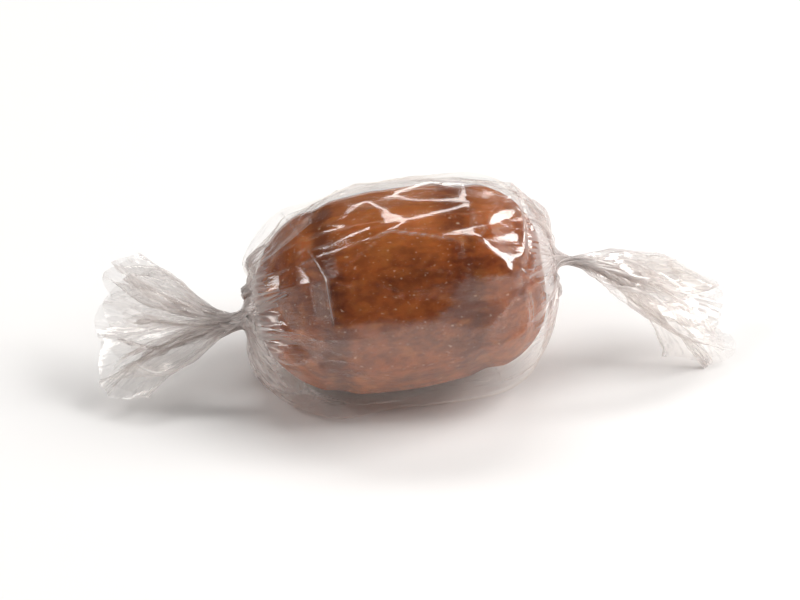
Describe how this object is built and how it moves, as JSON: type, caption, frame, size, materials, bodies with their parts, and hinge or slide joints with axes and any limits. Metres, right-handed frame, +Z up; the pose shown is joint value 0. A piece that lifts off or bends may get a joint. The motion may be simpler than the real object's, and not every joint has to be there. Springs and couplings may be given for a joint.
{
  "type": "root beer barrel candy",
  "caption": "Small barrel-shaped amber boiled sweet twisted up at both ends in a clear film wrapper, lying on its side.",
  "frame": {"origin": "in the small flat rest under the sweet, on the surface that it lies on", "axes": "+X runs along the sweet from its lower neck to its higher one, +Y is its back, +Z is up"},
  "size_m": [0.0505, 0.0164, 0.017],
  "materials": {
    "boiled_sweet": "glossy, slightly translucent amber brown boiled sugar",
    "clear_film": "thin clear glossy film, creased"
  },
  "bodies": {
    "root": {"wrapped_candy": "boiled_sweet"}
  },
  "joints": []
}
